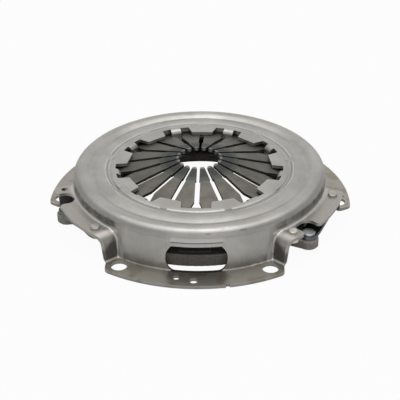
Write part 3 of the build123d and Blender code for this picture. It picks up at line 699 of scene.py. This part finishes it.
def addHalfFinger(bm, window):
    rows, columns, inside = spring["rows"], spring["columns"], spring["slotColumns"]
    reach = pi / spring["fingers"]
    end = spring["windowEnd"] if window else spring["holeAt"]
    endAngle = asin(slotHalf(end, window) / end)
    made = bmesh.ops.create_grid(bm, x_segments=columns, y_segments=len(rows) - 1, size=0.5)["verts"]
    stations = {}
    for vert in made:
        column, row = round((vert.co.x + 0.5) * columns), round((vert.co.y + 0.5) * (len(rows) - 1))
        stations[vert] = (column, row)
        radius = rows[row]
        edge = endAngle if radius >= end else asin(slotHalf(radius, window) / radius)
        if column < inside:
            angle = edge * column / inside
            if not window and radius >= end:
                bend = pi / 2 * column / inside
                fade = max(0.0, (spring["flatRadius"] - radius) / (spring["flatRadius"] - end))
                angle = edge * (fade * sin(bend) + (1 - fade) * column / inside)
                radius += spring["holeRadius"] * cos(bend) * fade
        else:
            angle = edge + (reach - edge) * (column - inside) / (columns - inside)
        height = spring["fulcrumHeight"] + spring["slope"] * (spring["fulcrumRadius"] - radius)
        if window:
            angle = 2 * reach - angle
        vert.co = Vector((radius * cos(angle), radius * sin(angle), height)) / 1000
    gone = [face for face in {f for vert in made for f in vert.link_faces}
            if max(stations[v][0] for v in face.verts) <= inside
            and max(rows[stations[v][1]] for v in face.verts) <= end]
    bmesh.ops.delete(bm, geom=gone, context="FACES")


def makeSpring():
    bm = bmesh.new()
    addHalfFinger(bm, window=False)
    addHalfFinger(bm, window=True)
    bmesh.ops.mirror(bm, geom=bm.verts[:] + bm.edges[:] + bm.faces[:], axis="Y", merge_dist=0.000001)
    pairs = spring["fingers"] // 2
    bmesh.ops.spin(bm, geom=bm.verts[:] + bm.edges[:] + bm.faces[:], cent=(0, 0, 0), axis=(0, 0, 1),
                   dvec=(0, 0, 0), angle=2 * pi * (pairs - 1) / pairs, steps=pairs - 1, use_duplicate=True)
    bmesh.ops.remove_doubles(bm, verts=bm.verts[:], dist=0.000004)
    toFirstSlot = Matrix.Rotation(radians(spring["firstSlot"]), 3, "Z")
    bmesh.ops.rotate(bm, verts=bm.verts[:], cent=(0, 0, 0), matrix=toFirstSlot)
    bmesh.ops.recalc_face_normals(bm, faces=bm.faces[:])
    if sum(face.normal.z for face in bm.faces) < 0:
        bmesh.ops.reverse_faces(bm, faces=bm.faces[:])
    mesh = bpy.data.meshes.new("springFingers")
    bm.to_mesh(mesh)
    bm.free()
    mesh.shade_smooth()
    piece = bpy.data.objects.new("springFingers", mesh)
    bpy.context.scene.collection.objects.link(piece)
    wall = piece.modifiers.new("wall", "SOLIDIFY")
    wall.thickness, wall.offset = spring["sheet"] / 1000 / sqrt(1 + spring["slope"] ** 2), 0
    worn = piece.modifiers.new("wornEdges", "BEVEL")
    worn.width, worn.segments = spring["edgeWidth"] / 1000, spring["edgeSteps"]
    worn.limit_method, worn.angle_limit = "ANGLE", radians(spring["edgeAngle"])
    worn.harden_normals = True
    dress(piece, "springSteel")
    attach(piece, "cover_assembly")
    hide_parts("diaphragm_spring")
    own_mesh(piece)


makeSpring()
print("spring is made")


# straps: each leaf is cut across between the plate's lug and the cover's ear, where the real leaf bends
straps = {  # metres, and degrees from a lobe's middle
    "count": 3, "leaves": 3, "cuts": 14, "land": 0.0086,
    "lugRadius": 0.111, "lugTurn": 50.7, "earRadius": 0.1096, "earTurn": 76.3,
    "sameDistance": 0.000002, "sameAngle": 1,
}


def makeLeaf(strap, leaf):
    name = f"strap_{strap + 1}_leaf_{leaf + 1}"
    lobe = lobes["first"] + lobes["pitch"] * strap
    lug = Matrix.Rotation(radians(lobe + straps["lugTurn"]), 3, "Z") @ Vector((straps["lugRadius"], 0, 0))
    ear = Matrix.Rotation(radians(lobe + straps["earTurn"]), 3, "Z") @ Vector((straps["earRadius"], 0, 0))
    along = (ear - lug).normalized()
    start, end = lug + along * straps["land"], ear - along * straps["land"]
    bm = bmesh.new()
    bm.from_mesh(nodes[name].data)
    bmesh.ops.remove_doubles(bm, verts=bm.verts[:], dist=straps["sameDistance"])
    bmesh.ops.dissolve_limit(bm, angle_limit=radians(straps["sameAngle"]), verts=bm.verts[:],
                             edges=bm.edges[:])
    for i in range(straps["cuts"] + 1):
        place = start.lerp(end, i / straps["cuts"])
        everything = bm.verts[:] + bm.edges[:] + bm.faces[:]
        bmesh.ops.bisect_plane(bm, geom=everything, plane_co=place, plane_no=along)
    mesh = bpy.data.meshes.new(f"strapLeaf{strap + 1}{leaf + 1}")
    bm.to_mesh(mesh)
    bm.free()
    piece = bpy.data.objects.new(mesh.name, mesh)
    bpy.context.scene.collection.objects.link(piece)
    dress(piece, "strapSteel")
    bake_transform(piece)
    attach(piece, "cover_assembly")
    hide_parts(name)


for strapNumber in range(straps["count"]):
    for leafNumber in range(straps["leaves"]):
        makeLeaf(strapNumber, leafNumber)
print("straps are made")


# carried-over pieces
carried = {
    "cover": "coverSteel", "pressure_plate": "castIron", "upper_fulcrum_ring": "ringWire",
    "lower_fulcrum_ring": "ringWire", "balance_rivet": "balanceRivet",
}
for name, finish in carried.items():
    dress(nodes[name], finish)
for number in (1, 2, 3):
    dress(nodes[f"ear_rivet_{number}"], "earRivet")
    dress(nodes[f"lug_rivet_{number}"], "lugRivet")
print("carried-over pieces are dressed")
